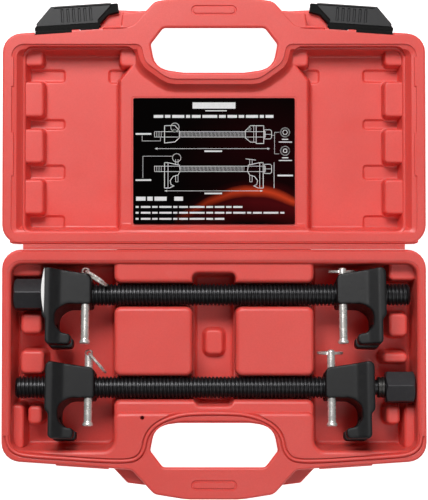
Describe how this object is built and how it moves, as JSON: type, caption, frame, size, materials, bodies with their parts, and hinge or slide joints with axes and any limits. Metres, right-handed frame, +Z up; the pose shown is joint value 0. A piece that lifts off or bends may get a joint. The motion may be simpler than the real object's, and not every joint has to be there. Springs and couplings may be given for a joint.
{
  "type": "coil spring compressor set",
  "caption": "Matched pair of screw-type strut spring compressors with forked hooks and safety pins, lying in an open moulded carrying case.",
  "frame": {"origin": "on the floor under the middle of the case hinge", "axes": "+X along the hinge to the right, +Y towards the opened lid, +Z up"},
  "size_m": [0.3112, 0.3696, 0.0577],
  "materials": {
    "case_red": "blow-moulded polythene, fine satin texture",
    "card": "printed laminated card, dark with a red sweep",
    "latch_black": "moulded nylon, satin",
    "rod_black": "black oxide on steel, oiled",
    "collar_steel": "dark turned steel",
    "jaw_black": "black powder coat on cast steel",
    "pin_chrome": "bright nickel plate"
  },
  "bodies": {
    "tray": {"case_tray": "case_red", "living_hinge": "case_red"},
    "lid": {"case_lid": "case_red", "instruction_card": "card"},
    "latch_left": {"latch_left": "latch_black"},
    "latch_right": {"latch_right": "latch_black"},
    "tool_1_collar": {"tool_1_thrust_collar": "collar_steel"},
    "tool_1_spindle": {"tool_1_threaded_rod": "rod_black", "tool_1_drive_head": "rod_black"},
    "tool_1_captive_jaw": {"tool_1_captive_jaw": "jaw_black"},
    "tool_1_captive_pin": {"tool_1_captive_pin": "pin_chrome"},
    "tool_1_captive_ring": {"tool_1_captive_ring": "pin_chrome"},
    "tool_1_travelling_jaw": {"tool_1_travelling_jaw": "jaw_black"},
    "tool_1_travelling_pin": {"tool_1_travelling_pin": "pin_chrome"},
    "tool_1_travelling_ring": {"tool_1_travelling_ring": "pin_chrome"},
    "tool_2_collar": {"tool_2_thrust_collar": "collar_steel"},
    "tool_2_spindle": {"tool_2_threaded_rod": "rod_black", "tool_2_drive_head": "rod_black"},
    "tool_2_captive_jaw": {"tool_2_captive_jaw": "jaw_black"},
    "tool_2_captive_pin": {"tool_2_captive_pin": "pin_chrome"},
    "tool_2_captive_ring": {"tool_2_captive_ring": "pin_chrome"},
    "tool_2_travelling_jaw": {"tool_2_travelling_jaw": "jaw_black"},
    "tool_2_travelling_pin": {"tool_2_travelling_pin": "pin_chrome"},
    "tool_2_travelling_ring": {"tool_2_travelling_ring": "pin_chrome"}
  },
  "joints": [
    {"name": "lid_hinge", "type": "hinge", "parent": "tray", "child": "lid", "pos_m": [0, 0, 0.042], "axis": [1, 0, 0], "range_deg": [0, 180]},
    {"name": "latch_left_hinge", "type": "hinge", "parent": "lid", "child": "latch_left", "pos_m": [-0.1085, 0.16308, 0.0328], "axis": [0.9977, 0.0673, 0], "range_deg": [0, 90]},
    {"name": "latch_right_hinge", "type": "hinge", "parent": "lid", "child": "latch_right", "pos_m": [0.1085, 0.16308, 0.0328], "axis": [0.9977, -0.0673, 0], "range_deg": [0, 90]},
    {"name": "tool_1_lift", "type": "slide", "parent": "tray", "child": "tool_1_collar", "axis": [0, 0, 1], "range_m": [0, 0.12]},
    {"name": "tool_1_spindle_turn", "type": "hinge", "parent": "tool_1_collar", "child": "tool_1_spindle", "pos_m": [-0.1472, -0.0352, 0.03], "axis": [1, 0, 0], "range_deg": [-321.6, 1157.3]},
    {"name": "tool_1_jaw_travel", "type": "slide", "parent": "tool_1_collar", "child": "tool_1_travelling_jaw", "axis": [-1, 0, 0], "range_m": [-0.0025, 0.009]},
    {"name": "tool_1_captive_jaw_slide", "type": "slide", "parent": "tool_1_collar", "child": "tool_1_captive_jaw", "axis": [1, 0, 0], "range_m": [0, 0.0035]},
    {"name": "tool_1_captive_pin_pull", "type": "slide", "parent": "tool_1_captive_jaw", "child": "tool_1_captive_pin", "axis": [0, 0.9877, -0.1564], "range_m": [0, 0.002]},
    {"name": "tool_1_captive_ring_swing", "type": "hinge", "parent": "tool_1_captive_pin", "child": "tool_1_captive_ring", "pos_m": [-0.094, -0.01815, 0.04046], "axis": [0, 0.1564, 0.9877], "range_deg": [0, 33]},
    {"name": "tool_1_travelling_pin_pull", "type": "slide", "parent": "tool_1_travelling_jaw", "child": "tool_1_travelling_pin", "axis": [0, 0.9877, -0.1564], "range_m": [0, 0.002]},
    {"name": "tool_1_travelling_ring_swing", "type": "hinge", "parent": "tool_1_travelling_pin", "child": "tool_1_travelling_ring", "pos_m": [0.0942, -0.01815, 0.04046], "axis": [1, 0, 0], "range_deg": [0, 12]},
    {"name": "tool_2_lift", "type": "slide", "parent": "tray", "child": "tool_2_collar", "axis": [0, 0, 1], "range_m": [0, 0.12]},
    {"name": "tool_2_spindle_turn", "type": "hinge", "parent": "tool_2_collar", "child": "tool_2_spindle", "pos_m": [0.1476, -0.1035, 0.03], "axis": [-1, 0, 0], "range_deg": [-321.6, 617.4]},
    {"name": "tool_2_jaw_travel", "type": "slide", "parent": "tool_2_collar", "child": "tool_2_travelling_jaw", "axis": [1, 0, 0], "range_m": [-0.0025, 0.0048]},
    {"name": "tool_2_captive_jaw_slide", "type": "slide", "parent": "tool_2_collar", "child": "tool_2_captive_jaw", "axis": [-1, 0, 0], "range_m": [-0.0091, 0.0015]},
    {"name": "tool_2_captive_pin_pull", "type": "slide", "parent": "tool_2_captive_jaw", "child": "tool_2_captive_pin", "axis": [0, 0.9877, -0.1564], "range_m": [0, 0.014]},
    {"name": "tool_2_captive_ring_swing", "type": "hinge", "parent": "tool_2_captive_pin", "child": "tool_2_captive_ring", "pos_m": [0.0858, -0.07816, 0.03915], "axis": [1, 0, 0], "range_deg": [0, 85]},
    {"name": "tool_2_travelling_pin_pull", "type": "slide", "parent": "tool_2_travelling_jaw", "child": "tool_2_travelling_pin", "axis": [0, 0.9877, -0.1564], "range_m": [0, 0.014]},
    {"name": "tool_2_travelling_ring_swing", "type": "hinge", "parent": "tool_2_travelling_pin", "child": "tool_2_travelling_ring", "pos_m": [-0.0918, -0.07816, 0.03915], "axis": [0, 0.1564, 0.9877], "range_deg": [-4, 22]}
  ],
  "couplings": [
    {"joint": "tool_1_spindle_turn", "follows": "tool_1_jaw_travel", "rad_per_m": 2244},
    {"joint": "tool_2_spindle_turn", "follows": "tool_2_jaw_travel", "rad_per_m": 2244}
  ]
}
